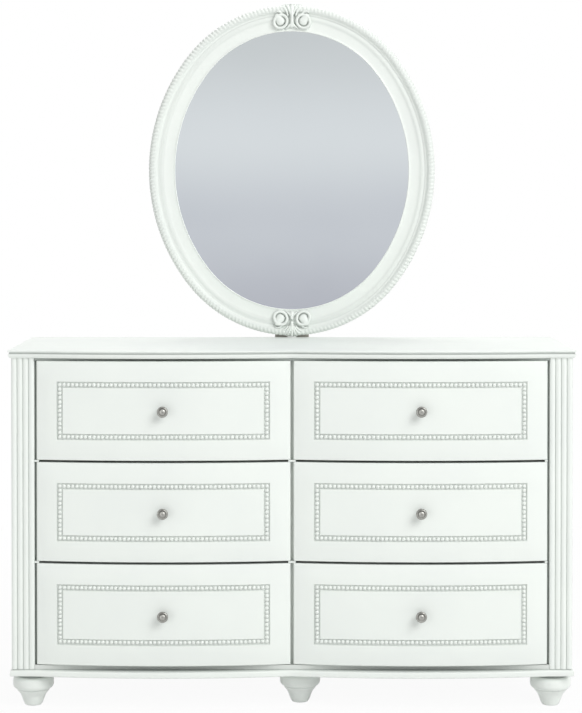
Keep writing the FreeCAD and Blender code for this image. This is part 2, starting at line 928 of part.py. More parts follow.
faults = [item.Name for item in doc.Objects if "Invalid" in item.State or "Error" in item.State]
if faults:
    raise RuntimeError(f"these objects failed: {faults}")
for piece in pieces:
    if piece.Shape.isNull() or not piece.Shape.isValid() or piece.Shape.Volume <= 0:
        raise RuntimeError(f"{piece.Label} has no valid solid")
os.makedirs("parts", exist_ok=True)
for piece in pieces:
    piece.Shape.exportStep(f"parts/{piece.Label}.step")
print(f"{len(pieces)} nodes written")
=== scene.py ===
import math
import bpy
import numpy as np
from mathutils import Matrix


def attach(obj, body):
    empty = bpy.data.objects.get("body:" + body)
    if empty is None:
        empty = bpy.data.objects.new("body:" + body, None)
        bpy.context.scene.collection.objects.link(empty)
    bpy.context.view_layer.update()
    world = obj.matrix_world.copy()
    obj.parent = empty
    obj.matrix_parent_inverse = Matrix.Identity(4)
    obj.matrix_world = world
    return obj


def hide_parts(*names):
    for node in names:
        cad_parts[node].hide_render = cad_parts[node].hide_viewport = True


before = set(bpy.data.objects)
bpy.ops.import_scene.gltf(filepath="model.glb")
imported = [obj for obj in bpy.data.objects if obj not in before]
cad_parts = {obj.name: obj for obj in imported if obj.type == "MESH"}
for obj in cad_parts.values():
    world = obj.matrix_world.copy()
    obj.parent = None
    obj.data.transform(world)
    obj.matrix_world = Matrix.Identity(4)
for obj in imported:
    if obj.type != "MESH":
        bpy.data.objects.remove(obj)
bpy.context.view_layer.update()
mm = 0.001  # pieces are in millimetres until makePiece; camera, lamps, finishes and floor are in metres
print("frame loaded:", len(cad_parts), "nodes")


# Camera and light
view = {
    "lens": 97.42, "sensor": 36, "shiftY": -0.1722,
    "place": (-0.0024, -4.9, 1.2434), "tiltDown": 1.0,  # metres, and degrees below level
}

cameraData = bpy.data.cameras.new("camera")
cameraData.lens = view["lens"]
cameraData.sensor_width = view["sensor"]
cameraData.shift_y = view["shiftY"]
camera = bpy.data.objects.new("camera", cameraData)
camera.location = view["place"]
camera.rotation_euler = (math.radians(90 - view["tiltDown"]), 0, 0)
bpy.context.scene.collection.objects.link(camera)
bpy.context.scene.camera = camera
bpy.context.scene.view_settings.view_transform = "Standard"

lamps = [
    {"name": "windowRight", "power": 576, "size": 5.8, "place": (5.2, -5.8, 6.3), "aim": (0.1, 0, 0.5)},
    {"name": "softAbove", "power": 62, "size": 2.6, "place": (-0.1, 1.4, 4.6), "aim": (0, 0, 0.8)},
    {"name": "fillLeft", "power": 36, "size": 3.0, "place": (-3.4, -3.9, 0.7), "aim": (0, 0, 0.4)},
]
for lamp in lamps:
    lightData = bpy.data.lights.new(lamp["name"], "AREA")
    lightData.energy = lamp["power"]
    lightData.size = lamp["size"]
    light = bpy.data.objects.new(lamp["name"], lightData)
    spot = np.array(lamp["place"])
    away = spot - np.array(lamp["aim"])
    light.location = spot
    level = math.hypot(away[0], away[1])
    light.rotation_euler = (math.atan2(level, away[2]), 0, math.atan2(away[0], -away[1]))
    bpy.context.scene.collection.objects.link(light)
print("camera and lamps placed")


# Node helpers
def addNode(tree, kind, settings=None, **values):
    # A socket given as a value is linked, anything else is set on the socket
    node = tree.nodes.new(kind)
    for key, value in (settings or {}).items():
        setattr(node, key, value)
    for key, value in values.items():
        fill(tree, node.inputs[key.replace("_", " ")], value)
    return node


def fill(tree, socket, value):
    if isinstance(value, bpy.types.NodeSocket):
        tree.links.new(value, socket)
    else:
        socket.default_value = value


def mixColour(tree, factor, first, second, blend="MIX"):
    node = addNode(tree, "ShaderNodeMix", {"data_type": "RGBA", "blend_type": blend})
    fill(tree, node.inputs[0], factor)
    fill(tree, node.inputs[6], first)
    fill(tree, node.inputs[7], second)
    return node.outputs[2]


def spread(tree, value, low, high, toLow, toHigh):
    # A straight-line change of range from low..high to toLow..toHigh
    node = addNode(tree, "ShaderNodeMapRange")
    for number, item in enumerate((value, low, high, toLow, toHigh)):
        fill(tree, node.inputs[number], item)
    return node.outputs[0]


def noise(tree, where, scale, detail=2.0, distortion=0.0):
    node = addNode(tree, "ShaderNodeTexNoise", Scale=scale, Detail=detail, Distortion=distortion)
    fill(tree, node.inputs["Vector"], where)
    return node.outputs["Fac"]


def stretched(tree, where, scale):
    return addNode(tree, "ShaderNodeMapping", Vector=where, Scale=scale).outputs[0]


def newGroup(name, inputs, outputs):
    group = bpy.data.node_groups.new(name, "ShaderNodeTree")
    for label, kind, value in inputs:
        socket = group.interface.new_socket(label, in_out="INPUT", socket_type=kind)
        if value is not None:
            socket.default_value = value
    for label, kind in outputs:
        group.interface.new_socket(label, in_out="OUTPUT", socket_type=kind)
    return group, addNode(group, "NodeGroupInput").outputs, addNode(group, "NodeGroupOutput").inputs


def newMaterial(name):
    material = bpy.data.materials.new(name)
    material.use_nodes = True
    tree = material.node_tree
    shader = tree.nodes["Principled BSDF"]
    where = addNode(tree, "ShaderNodeTexCoord").outputs
    return material, tree, shader, where


def bumpInto(tree, shader, height, strength, distance):
    bump = addNode(tree, "ShaderNodeBump", Height=height, Strength=strength, Distance=distance)
    fill(tree, shader.inputs["Normal"], bump.outputs[0])


# Finishes
colour, number, vector = "NodeSocketColor", "NodeSocketFloat", "NodeSocketVector"
white = (1, 1, 1, 1)
paint = {
    "white": ((0.845, 0.885, 0.845), (0.82, 0.858, 0.825)),  # the coat, and its faint mottle
    # the rail coat is a greyer white, painted shade for the strip under the drawers
    "rail": ((0.70, 0.73, 0.70), (0.66, 0.69, 0.66)),
    # the grey and the dark colours below are painted shade for hollows and gaps
    "paintedShade": (0.34, 0.37, 0.35, 1), "gapShade": (0.16, 0.155, 0.14, 1),
    "mottle": (5.0, 4.0), "cloud": (38.0, 3.0), "peel": (420.0, 2.0),  # scale and detail of each noise
    "mottleRange": (0.35, 0.7), "cloudRange": (0.3, 0.7), "roughness": (0.33, 0.45),
    "specular": 0.3, "bump": (0.06, 0.0004),
    "railShadeLimits": (0.110, 0.1115), "stileShadeLimits": (0.0065, 0.009),  # metres, from paint to stain
}
wood = {
    "box": ((0.66, 0.46, 0.27), (0.50, 0.32, 0.17)), "rail": ((0.62, 0.43, 0.25), (0.47, 0.30, 0.16)),
    "batten": ((0.56, 0.53, 0.49), (0.45, 0.43, 0.40)), "ply": ((0.56, 0.40, 0.24), (0.46, 0.31, 0.18)),
    "bands": (1.4, 5.0, 0.8), "fibres": (3.0, 4.0),  # scale, detail and distortion
    "bandRange": (0.38, 0.62), "fibreRange": (0.4, 0.75), "glossRange": (0.3, 0.7), "roughness": (0.5, 0.68),
    "fibreStretch": (7, 7, 7), "fibreShare": 0.55, "along": 1.6, "across": 26,
    "specular": 0.35, "bump": (0.12, 0.0005),
    "plySpecular": 0.3, "plyBump": (0.08, 0.0004),
}

# Sprayed satin lacquer: a faint mottle in the colour, a fine orange peel in the surface
paintGroup, paintIn, paintOut = newGroup(
    "sprayedLacquer",
    [("Where", vector, None), ("Coat", colour, white), ("Shade", colour, white)],
    [("Colour", colour), ("Roughness", number), ("Height", number)],
)
mottle = noise(paintGroup, paintIn["Where"], *paint["mottle"])
mottle = spread(paintGroup, mottle, *paint["mottleRange"], 0.0, 1.0)
fill(paintGroup, paintOut["Colour"], mixColour(paintGroup, mottle, paintIn["Coat"], paintIn["Shade"]))
cloud = noise(paintGroup, paintIn["Where"], *paint["cloud"])
dullness = spread(paintGroup, cloud, *paint["cloudRange"], *paint["roughness"])
fill(paintGroup, paintOut["Roughness"], dullness)
fill(paintGroup, paintOut["Height"], noise(paintGroup, paintIn["Where"], *paint["peel"]))

# Planed softwood or plywood: long soft bands along the grain with fine fibres over them
woodGroup, woodIn, woodOut = newGroup(
    "planedWood",
    [("Where", vector, None), ("Pale", colour, white), ("Deep", colour, white)],
    [("Colour", colour), ("Roughness", number), ("Height", number)],
)
bands = noise(woodGroup, woodIn["Where"], *wood["bands"])
fibreWhere = stretched(woodGroup, woodIn["Where"], wood["fibreStretch"])
fibres = noise(woodGroup, fibreWhere, *wood["fibres"])
bandMask = spread(woodGroup, bands, *wood["bandRange"], 0.0, 1.0)
fibreMask = spread(woodGroup, fibres, *wood["fibreRange"], 0.0, wood["fibreShare"])
banded = mixColour(woodGroup, bandMask, woodIn["Pale"], woodIn["Deep"])
fill(woodGroup, woodOut["Colour"], mixColour(woodGroup, fibreMask, banded, woodIn["Deep"]))
dullness = spread(woodGroup, fibres, *wood["glossRange"], *wood["roughness"])
fill(woodGroup, woodOut["Roughness"], dullness)
fill(woodGroup, woodOut["Height"], fibres)

# Painted shade: a dark colour takes over from the coat as a measured distance passes from start to end
gapShadeGroup, gapShadeIn, gapShadeOut = newGroup(
    "darkGapShade",
    [("Coat", colour, white), ("Distance", number, 0.0), ("Start", number, 0.0), ("End", number, 1.0)],
    [("Colour", colour)],
)
gapShadeMask = spread(gapShadeGroup, gapShadeIn["Distance"], gapShadeIn["Start"], gapShadeIn["End"], 0.0, 1.0)
fill(gapShadeGroup, gapShadeOut["Colour"], mixColour(gapShadeGroup, gapShadeMask, gapShadeIn["Coat"], paint["gapShade"]))


def groupFinish(name, group, where, colours, specular, bump):
    # A material whose colour, roughness and bump all come from one of the groups above
    material, tree, shader, coordinates = newMaterial(name)
    node = addNode(tree, "ShaderNodeGroup", {"node_tree": group})
    fill(tree, node.inputs[0], where(tree, coordinates))
    node.inputs[1].default_value = (*colours[0], 1)
    node.inputs[2].default_value = (*colours[1], 1)
    fill(tree, shader.inputs["Base Color"], node.outputs["Colour"])
    fill(tree, shader.inputs["Roughness"], node.outputs["Roughness"])
    shader.inputs["Specular IOR Level"].default_value = specular
    bumpInto(tree, shader, node.outputs["Height"], *bump)
    return material


def grainAcross(tree, coordinates):
    return stretched(tree, coordinates["Object"], (wood["along"], wood["across"], wood["across"]))


def grainUp(tree, coordinates):
    return stretched(tree, coordinates["Object"], (wood["across"], wood["across"], wood["along"]))


def grainAlongBoards(tree, coordinates):
    # Boards that face sideways run front to back, and the rest run across
    split = addNode(tree, "ShaderNodeSeparateXYZ", Vector=coordinates["Normal"])
    sideways = addNode(tree, "ShaderNodeMath", {"operation": "ABSOLUTE"})
    fill(tree, sideways.inputs[0], split.outputs["X"])
    deep = stretched(tree, coordinates["Object"], (wood["across"], wood["along"], wood["across"]))
    node = addNode(tree, "ShaderNodeMix", {"data_type": "VECTOR"})
    fill(tree, node.inputs[0], sideways.outputs[0])
    fill(tree, node.inputs[4], grainAcross(tree, coordinates))
    fill(tree, node.inputs[5], deep)
    return node.outputs[1]


def plainWhere(tree, coordinates):
    return coordinates["Object"]


def paintFinish(name, colours):
    material = groupFinish(name, paintGroup, plainWhere, colours, paint["specular"], paint["bump"])
    tree = material.node_tree
    shader = tree.nodes["Principled BSDF"]
    coat = shader.inputs["Base Color"].links[0].from_socket
    return material, tree, shader, coat


def gapShadeInto(tree, shader, coat, distance, limits):
    # The dark painted shade lies over a painted finish beyond the limits of a distance
    node = addNode(tree, "ShaderNodeGroup", {"node_tree": gapShadeGroup}, Coat=coat, Distance=distance)
    node.inputs["Start"].default_value, node.inputs["End"].default_value = limits
    fill(tree, shader.inputs["Base Color"], node.outputs["Colour"])


# Where a white piece carries painted shade, a grey is mixed into its hollows, creases and gaps
whitePaint, tree, shader, coat = paintFinish("whitePaint", paint["white"])
shadeAmount = addNode(tree, "ShaderNodeAttribute", {"attribute_name": "patinaAndShade"}).outputs["Fac"]
fill(tree, shader.inputs["Base Color"], mixColour(tree, shadeAmount, coat, paint["paintedShade"]))

boxWood = groupFinish("boxWood", woodGroup, grainAlongBoards, wood["box"], wood["specular"], wood["bump"])
railWood = groupFinish("railWood", woodGroup, grainAcross, wood["rail"], wood["specular"], wood["bump"])
# The battens' greyed wood is painted shade: it darkens the gap under the mirror
battenWood = groupFinish("battenWood", woodGroup, grainUp, wood["batten"], wood["specular"], wood["bump"])
plyBoard = groupFinish("plyBoard", woodGroup, grainUp, wood["ply"], wood["plySpecular"], wood["plyBump"])

# The strip under the drawers takes a greyer coat as painted shade under the bowed fronts, and the rails
# behind the drawers are darkened with painted shade
railPaint, tree, shader, coat = paintFinish("railPaint", paint["rail"])
coordinates = tree.nodes["Texture Coordinate"].outputs
level = addNode(tree, "ShaderNodeSeparateXYZ", Vector=coordinates["Object"]).outputs["Z"]
gapShadeInto(tree, shader, coat, level, paint["railShadeLimits"])

# The stile between the columns is painted where it shows, and darkened with painted shade at both sides
stilePaint, tree, shader, coat = paintFinish("stilePaint", paint["white"])
coordinates = tree.nodes["Texture Coordinate"].outputs
across = addNode(tree, "ShaderNodeMath", {"operation": "ABSOLUTE"})
split = addNode(tree, "ShaderNodeSeparateXYZ", Vector=coordinates["Object"])
fill(tree, across.inputs[0], split.outputs["X"])
gapShadeInto(tree, shader, coat, across.outputs[0], paint["stileShadeLimits"])

# Zinc plate: overlapping crystals seen as small changes of tone and gloss
zinc = {
    "pale": (0.52, 0.53, 0.54, 1), "deep": (0.38, 0.39, 0.41, 1),
    "crystals": 160.0, "toneRange": (0.1, 0.7), "glossRange": (0.0, 0.7), "roughness": (0.28, 0.44),
}
zincSteel, tree, shader, coordinates = newMaterial("zincSteel")
crystals = addNode(tree, "ShaderNodeTexVoronoi", Scale=zinc["crystals"], Vector=coordinates["Object"])
crystals = crystals.outputs["Distance"]
zincMask = spread(tree, crystals, *zinc["toneRange"], 0.0, 1.0)
fill(tree, shader.inputs["Base Color"], mixColour(tree, zincMask, zinc["pale"], zinc["deep"]))
dullness = spread(tree, crystals, *zinc["glossRange"], *zinc["roughness"])
fill(tree, shader.inputs["Roughness"], dullness)
shader.inputs["Metallic"].default_value = 1.0

# Satin nickel: tarnish and painted shade darken the knob's hollows, and fine turning noise dulls the rest
nickel = {
    "pale": (0.45, 0.45, 0.425, 1), "deep": (0.35, 0.35, 0.325, 1), "tarnishAndShade": (0.035, 0.033, 0.03, 1),
    "spots": (260.0, 4.0), "toneRange": (0.35, 0.7), "glossRange": (0.3, 0.7), "roughness": (0.34, 0.5),
    "bump": (0.05, 0.0002),
}
satinNickel, tree, shader, coordinates = newMaterial("satinNickel")
patinaAndShade = addNode(tree, "ShaderNodeAttribute", {"attribute_name": "patinaAndShade"}).outputs["Fac"]
spots = noise(tree, coordinates["Object"], *nickel["spots"])
wornMask = spread(tree, spots, *nickel["toneRange"], 0.0, 1.0)
worn = mixColour(tree, wornMask, nickel["pale"], nickel["deep"])
fill(tree, shader.inputs["Base Color"], mixColour(tree, patinaAndShade, worn, nickel["tarnishAndShade"]))
dullness = spread(tree, spots, *nickel["glossRange"], *nickel["roughness"])
fill(tree, shader.inputs["Roughness"], dullness)
shader.inputs["Metallic"].default_value = 1.0
bumpInto(tree, shader, spots, *nickel["bump"])

# Silvered glass with a painted reflection: the colour changes slowly from its lower to its upper edge
silver = {
    "edges": (0.943, 1.703), "roughness": 0.03,  # metres above the floor
    "clouds": (3.0, 3.0), "cloudRange": (0.3, 0.7), "cloudShare": 0.12, "cloudTint": (0.74, 0.77, 0.79, 1),
    "reflectionTints": [
        (0.0, (0.445, 0.465, 0.515)), (0.3, (0.53, 0.56, 0.605)),
        (0.61, (0.655, 0.695, 0.72)), (1.0, (0.55, 0.585, 0.60)),
    ],
}
silvered, tree, shader, coordinates = newMaterial("silveredGlass")
heightValue = addNode(tree, "ShaderNodeSeparateXYZ", Vector=coordinates["Object"]).outputs["Z"]
ramp = addNode(tree, "ShaderNodeValToRGB")
fill(tree, ramp.inputs[0], spread(tree, heightValue, *silver["edges"], 0.0, 1.0))
ramp.color_ramp.interpolation = "EASE"
for position, reflectionTint in silver["reflectionTints"][1:-1]:
    ramp.color_ramp.elements.new(position)
for element, (position, reflectionTint) in zip(ramp.color_ramp.elements, silver["reflectionTints"]):
    element.position = position
    element.color = (*reflectionTint, 1)
clouding = noise(tree, coordinates["Object"], *silver["clouds"])
cloudMask = spread(tree, clouding, *silver["cloudRange"], 0.0, silver["cloudShare"])
fill(tree, shader.inputs["Base Color"], mixColour(tree, cloudMask, ramp.outputs[0], silver["cloudTint"]))
shader.inputs["Metallic"].default_value = 1.0
shader.inputs["Roughness"].default_value = silver["roughness"]
print("finishes made")


# Surfaces
def gridFaces(rows, columns, ringRows=False, ringColumns=True):
    # Four corners for each cell of a grid; a ring joins its last line to its first
    row = np.arange(rows if ringRows else rows - 1)[:, None]
    column = np.arange(columns if ringColumns else columns - 1)[None, :]
    nextRow = (row + 1) % rows
    nextColumn = (column + 1) % columns
    corners = [row * columns + column, row * columns + nextColumn]
    corners += [nextRow * columns + nextColumn, nextRow * columns + column]
    return np.stack(corners, -1).reshape(-1, 4).tolist()


def makePiece(name, points, faces, finish, body, hides=(), sharp=38, patinaAndShade=None):
    # Puts a surface into the scene on its body; edges over the sharp angle in degrees stay crisp
    mesh = bpy.data.meshes.new(name)
    mesh.from_pydata((points * mm).tolist(), [], faces)
    mesh.polygons.foreach_set("use_smooth", np.ones(len(mesh.polygons), bool))
    mesh.set_sharp_from_angle(angle=math.radians(sharp))
    mesh.materials.append(finish)
    if patinaAndShade is not None:
        mesh.attributes.new("patinaAndShade", "FLOAT", "POINT").data.foreach_set("value", patinaAndShade.astype(np.float32))
    piece = bpy.data.objects.new(name, mesh)
    bpy.context.scene.collection.objects.link(piece)
    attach(piece, body)
    if hides:
        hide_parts(*hides)


def paintedPiece(name, points, faces, paintedShade, body, hides=(), sharp=38):
    # A piece in white paint, with its share of painted shade at every point
    makePiece(name, points, faces, whitePaint, body, hides, sharp, paintedShade)


def joinShells(shells):
    # Several closed shells as one set of points and faces
    points, faces, start = [], [], 0
    for shellPoints, shellFaces in shells:
        points.append(shellPoints)
        faces += [[corner + start for corner in face] for face in shellFaces]
        start += len(shellPoints)
    return np.vstack(points), faces


def arcPoints(centre, radius, start, end, count):
    # Points of a circle's arc from one angle in degrees to another: centre + radius * (cos, sin)
    angle = np.radians(np.linspace(start, end, count))
    return np.stack([centre[0] + radius * np.cos(angle), centre[1] + radius * np.sin(angle)], -1)


def lathe(profile, steps, centre, axis):
    # Each profile point (radius, height) runs once round the axis, and flat ends close the turning
    angle = np.linspace(0, 2 * math.pi, steps, endpoint=False)
    radius, height = profile[:, 0, None], profile[:, 1, None]
    across, around = radius * np.cos(angle), radius * np.sin(angle)
    lifted = np.broadcast_to(height, across.shape)
    order = {
        "up": (across, around, lifted),
        "forward": (across, -lifted, around),
        "back": (-across, lifted, around),
    }
    points = np.stack(order[axis], -1).reshape(-1, 3) + np.array(centre)
    faces = gridFaces(len(profile), steps)
    faces.append(list(range(steps))[::-1])
    faces.append(list(range(len(points) - steps, len(points))))
    return points, faces


def ringStack(outline, mitre, profile):
    # One ring for each profile point (inset, height): the outline less the inset along its mitre
    rings = outline[None] - profile[:, 0, None, None] * mitre[None]
    heights = np.broadcast_to(profile[:, 1, None, None], rings.shape[:2] + (1,))
    points = np.concatenate([rings, heights], -1).reshape(-1, 3)
    count = len(outline)
    faces = gridFaces(len(profile), count)
    faces.append(list(range(count))[::-1])
    faces.append(list(range(len(points) - count, len(points))))
    return points, faces


def reliefBlock(front, back):
    # A grid of front points, rows upwards and columns to the right, closed by sides and a flat back
    rows, columns = front.shape[:2]
    grid = np.arange(rows * columns).reshape(rows, columns)
    border = np.concatenate([grid[0, :-1], grid[:-1, -1], grid[-1, :0:-1], grid[:0:-1, 0]])
    points = front.reshape(-1, 3)
    behind = points[border].copy()
    behind[:, 1] = back
    first = len(points)
    count = len(border)
    here = np.arange(count)
    after = (here + 1) % count
    sides = np.stack([border[after], border[here], first + here, first + after], -1)
    faces = gridFaces(rows, columns, ringColumns=False) + sides.tolist()
    faces.append((first + here[::-1]).tolist())
    return np.vstack([points, behind]), faces


def edgeLines(insets, half, inner):
    # Grid lines at chosen insets from both ends of a span, with even steps between them
    insets = np.sort(np.array(insets))
    middle = np.linspace(-half + insets[-1], half - insets[-1], inner + 2)[1:-1]
    return np.concatenate([-half + insets, middle, (half - insets)[::-1]])


# The double bow
bay = {"edge": 627.5, "bow": 23.0}
bay["radius"] = bay["edge"] ** 2 / (8 * bay["bow"]) + bay["bow"] / 2


def bowForward(x):
    # How far an arc stands over its chord: sqrt(R^2 - u^2) - R + bow, with u from the middle of the column
    u = np.clip(np.abs(x), 0, bay["edge"]) - bay["edge"] / 2
    return np.sqrt(bay["radius"] ** 2 - u ** 2) - bay["radius"] + bay["bow"]


def slabPlan(side, front, back, steps=40):
    # The plan of a board, its front edge y = front - bowForward(x). A corner's mitre is the sum of the
    # normals of its two edges over 1 plus their product, and the back corners move only sideways
    x = np.concatenate([[-side], np.linspace(-bay["edge"], bay["edge"], 2 * steps + 1), [side]])
    frontLine = np.stack([x, front - bowForward(x)], -1)
    outline = np.vstack([[-side, back], frontLine, [side, back]])
    run = np.roll(outline, -1, 0) - outline
    normal = np.stack([run[:, 1], -run[:, 0]], -1) / np.linalg.norm(run, axis=1)[:, None]
    before = np.roll(normal, 1, 0)
    mitre = (before + normal) / (1 + np.sum(before * normal, 1))[:, None]
    mitre[0] = (-1, 0)
    mitre[-1] = (1, 0)
    return outline, mitre


# Top and base board
top = {
    "side": 691.5, "front": -222.0, "back": 243.0, "low": 859.0, "high": 878.0,
    "ovoloIn": 7.6, "ovoloStart": 1.2, "ovoloStep": 0.6, "groove": 3.8, "grooveLow": 10.6, "grooveSlope": 0.2,
    "lipLow": 15.2, "lipRound": 1.1, "paintedShade": 0.85, "shadeHalf": 0.5,
}
height = top["high"] - top["low"]
quarter = np.radians(np.linspace(270, 180, 10))
ovolo = np.stack([
    top["ovoloStart"] + (top["ovoloIn"] - top["ovoloStart"]) * (1 + np.cos(quarter)),
    (top["grooveLow"] - top["ovoloStep"]) * (1 + np.sin(quarter)),
], -1)
topProfile = np.vstack([
    ovolo,
    [[top["ovoloStart"] + top["ovoloStep"], top["grooveLow"]]],
    [[top["groove"], top["grooveLow"] + top["grooveSlope"]]],
    [[top["groove"], top["lipLow"] - top["grooveSlope"]]],
    arcPoints((top["lipRound"], top["lipLow"] + top["lipRound"]), top["lipRound"], 270, 180, 4),
    arcPoints((top["lipRound"], height - top["lipRound"]), top["lipRound"], 180, 90, 5),
])
topProfile[:, 1] += top["low"]
outline, mitre = slabPlan(top["side"], top["front"], top["back"])
points, faces = ringStack(outline, mitre, topProfile)
# Painted shade lies along the groove under the lip
onGroove = np.abs(topProfile[:, 1] - top["low"] - top["grooveLow"]) < top["shadeHalf"]
topShade = np.repeat(top["paintedShade"] * onGroove, len(outline))
paintedPiece("topBoard", points, faces, topShade, "dresser_case", ["top_slab"])

base = {
    "side": 687.5, "front": -218.0, "back": 243.0, "low": 82.0, "high": 99.5, "underIn": 12.0,
    "topRound": 4.2, "underRound": 3.0, "quirk": 2.4, "quirkIn": 6.8, "paintedShade": [0.3, 0.85],
}
height = base["high"] - base["low"]
shoulder = height - base["quirk"]
baseProfile = np.vstack([
    [[base["underIn"], 0.0]],
    arcPoints((base["underRound"], base["underRound"]), base["underRound"], 270, 180, 6),
    arcPoints((base["topRound"], shoulder - base["topRound"]), base["topRound"], 180, 90, 7),
    [[base["quirkIn"], shoulder], [base["quirkIn"], height]],
])
baseProfile[:, 1] += base["low"]
outline, mitre = slabPlan(base["side"], base["front"], base["back"])
points, faces = ringStack(outline, mitre, baseProfile)
# Painted shade lies on the quirk's riser and on the top face under the drawers
baseShade = np.zeros(len(baseProfile))
baseShade[-2:] = base["paintedShade"]
baseShade = np.repeat(baseShade, len(outline))
paintedPiece("baseBoard", points, faces, baseShade, "dresser_case", ["base_board"])
print("top and base made")

# Reeded posts
post = {
    "outer": 683.5, "width": 56.0, "face": -214.0, "back": -134.0, "low": 99.5, "high": 859.0,
    "reeds": 4, "swell": 2.2, "quirk": 1.8, "quirkWidth": 0.95, "quirkSlope": 0.15, "steps": 9, "paintedShade": 0.28,
}


def postPlan():
    # Each reed is an arc, sqrt(R^2 - u^2) - R, over its pitch less a narrow square quirk on both sides
    pitch = post["width"] / post["reeds"]
    half = pitch / 2 - post["quirkWidth"]
    radius = half ** 2 / (2 * post["swell"]) + post["swell"] / 2
    u = np.linspace(-half, half, post["steps"])
    lift = np.sqrt(radius ** 2 - u ** 2) - radius
    centres = pitch * (np.arange(post["reeds"]) + 0.5)
    floor = post["swell"] + post["quirk"]
    reedX = np.concatenate([[-half - post["quirkSlope"]], u, [half + post["quirkSlope"]]])
    reedY = np.concatenate([[floor], -lift, [floor]])
    x = (centres[:, None] + reedX[None]).reshape(-1)
    y = np.tile(reedY, post["reeds"]) + post["face"]
    ends = [(0.0, post["back"]), (0.0, post["face"] + floor), (post["width"], post["face"] + floor)]
    ends.append((post["width"], post["back"]))
    plan = np.vstack([ends[:2], np.stack([x, y], -1), ends[2:]])
    # Painted shade lies along the floor of each quirk
    paintedShade = np.concatenate([[0, 0], np.tile(reedY > floor - 0.01, post["reeds"]) * post["paintedShade"], [0, 0]])
    return plan, paintedShade


plan, planShade = postPlan()
for side, sign in (("left", -1), ("right", 1)):
    outline = plan.copy()
    outline[:, 0] += -post["outer"] if sign < 0 else post["outer"] - post["width"]
    profile = np.array([[0.0, post["low"]], [0.0, post["high"]]])
    points, faces = ringStack(outline, np.zeros_like(outline), profile)
    paintedShade = np.tile(planShade, 2)
    paintedPiece(f"reededPost.{side}", points, faces, paintedShade, "dresser_case", [f"corner_post_{side}"], 50)
print("posts made")

# Turned feet
feet = {
    "profile": [  # radius, height
        (17.0, 0.0), (19.6, 0.8), (21.0, 2.4), (22.6, 5.0), (24.8, 10.0), (26.8, 15.5), (28.6, 20.5),
        (30.2, 24.5), (32.4, 28.6), (34.6, 31.4), (37.0, 34.2), (39.6, 37.6), (40.8, 39.8), (40.4, 40.7),
        (40.8, 41.6), (43.8, 42.3), (46.5, 44.0), (48.6, 47.0), (49.8, 51.0), (50.0, 55.0), (50.0, 61.0),
        (49.4, 66.0), (47.8, 70.0), (44.8, 72.8), (40.6, 74.0), (39.6, 75.0), (39.6, 82.0),
    ],
    "steps": 56, "neckLow": 73, "neckShade": 0.95, "seam": 40.7, "seamHalf": 0.3, "seamShade": 0.35,
    "places": [(-637.5, -159.0), (637.5, -159.0), (20.0, -129.0), (-637.5, 188.0), (637.5, 188.0)],
}
turned = np.array(feet["profile"])
shells = [lathe(turned, feet["steps"], (x, y, 0.0), "up") for x, y in feet["places"]]
points, faces = joinShells(shells)
# Painted shade lies in the neck under the base and in the seam over the flared bead
inSeam = np.abs(turned[:, 1] - feet["seam"]) < feet["seamHalf"]
turnedShade = feet["neckShade"] * (turned[:, 1] > feet["neckLow"]) + feet["seamShade"] * inSeam
footShade = np.tile(np.repeat(turnedShade, feet["steps"]), len(feet["places"]))
paintedPiece("bunFeet", points, faces, footShade, "dresser_case", ["feet"], 50)
print("feet made")

# Drawers
drawer = {
    "middle": 312.75, "width": 618.1, "face": -214.0, "thick": 20.0,
    "edgeIn": 3.8, "edgeDepth": 3.2, "bevelIn": 7.8, "bevelWide": 3.2, "bevel": 1.0,
    "channel": 57.4, "channelHalf": 7.8, "channelDepth": 3.4, "channelWall": 1.4, "paintedShade": 0.33,
    "cornerSteps": 7, "columns": 34, "lines": 8,  # the last two are even steps between the edges' own lines
    "drop": 1.1,  # how far the bottom row's fronts reach below their drawers
    "levelShade": {"bottom": 0.7, "middle": 0.7, "top": 0.2},
    "rows": {"bottom": (112.0, 246.5), "middle": (364.0, 241.5), "top": (611.0, 241.5)},  # low edge, height
}
bead = {
    "radius": 5.0, "proud": 1.9, "pitch": 10.4, "turns": 10,
    "angles": [22, 45, 68, 90, 108],  # degrees from the front tip
    "paintedShade": [0.34, 0.28, 0.08, 0.0, 0.0],  # for each ring of points, the rearmost first
}
knob = {
    "profile": [  # radius, height
        (8.6, 0.0), (8.6, 1.2), (7.2, 2.2), (6.2, 4.0), (5.9, 8.0), (6.8, 11.5), (9.6, 14.2), (12.4, 15.6),
        (13.3, 16.8), (13.5, 18.4), (13.2, 20.0), (12.2, 21.4), (10.6, 22.2), (9.2, 22.3), (8.5, 21.6),
        (8.1, 21.5), (7.6, 22.4), (6.6, 23.9), (4.6, 24.7), (2.4, 24.95), (1.5, 24.9), (1.1, 24.5),
        (0.5, 24.4),
    ],
    "steps": 44, "stemEnd": 14, "faceLow": 20,
    # the ring's share is painted shade and reflection, and the dot's is tarnish
    "ring": (9.6, 1.7, 0.8), "dot": (0.0, 1.8, 0.4),  # radius, reach and share of tarnish
    "rimStart": 9.0, "rimReach": 4.5, "rimShare": 0.5, "upper": (0.6, 0.4),
}
knobScrew = {
    "profile": [(6.5, 0.0), (6.5, 0.9), (4.4, 1.0), (4.2, 2.2), (3.2, 3.2), (1.2, 3.5)],
    "steps": 24, "inside": -182.0,
}


def frontDepth(inset):
    # An elliptical round at the edge, edgeDepth * (1 - sqrt(1 - s^2)) with s from 1 to 0, then a narrow
    # straight bevel and a flat-bottomed channel for the beads
    short = np.clip(1 - inset / drawer["edgeIn"], 0, 1)
    rounding = drawer["edgeDepth"] * (1 - np.sqrt(1 - short ** 2))
    bevel = drawer["bevel"] * np.clip((drawer["bevelIn"] - inset) / drawer["bevelWide"], 0, 1)
    return rounding + bevel + drawer["channelDepth"] * channelShare(inset)


def channelShare(inset):
    # 1 on the channel's floor, 0 outside it, with a sloped wall between
    reach = (drawer["channelHalf"] - np.abs(inset - drawer["channel"])) / drawer["channelWall"]
    return np.clip(reach, 0, 1)


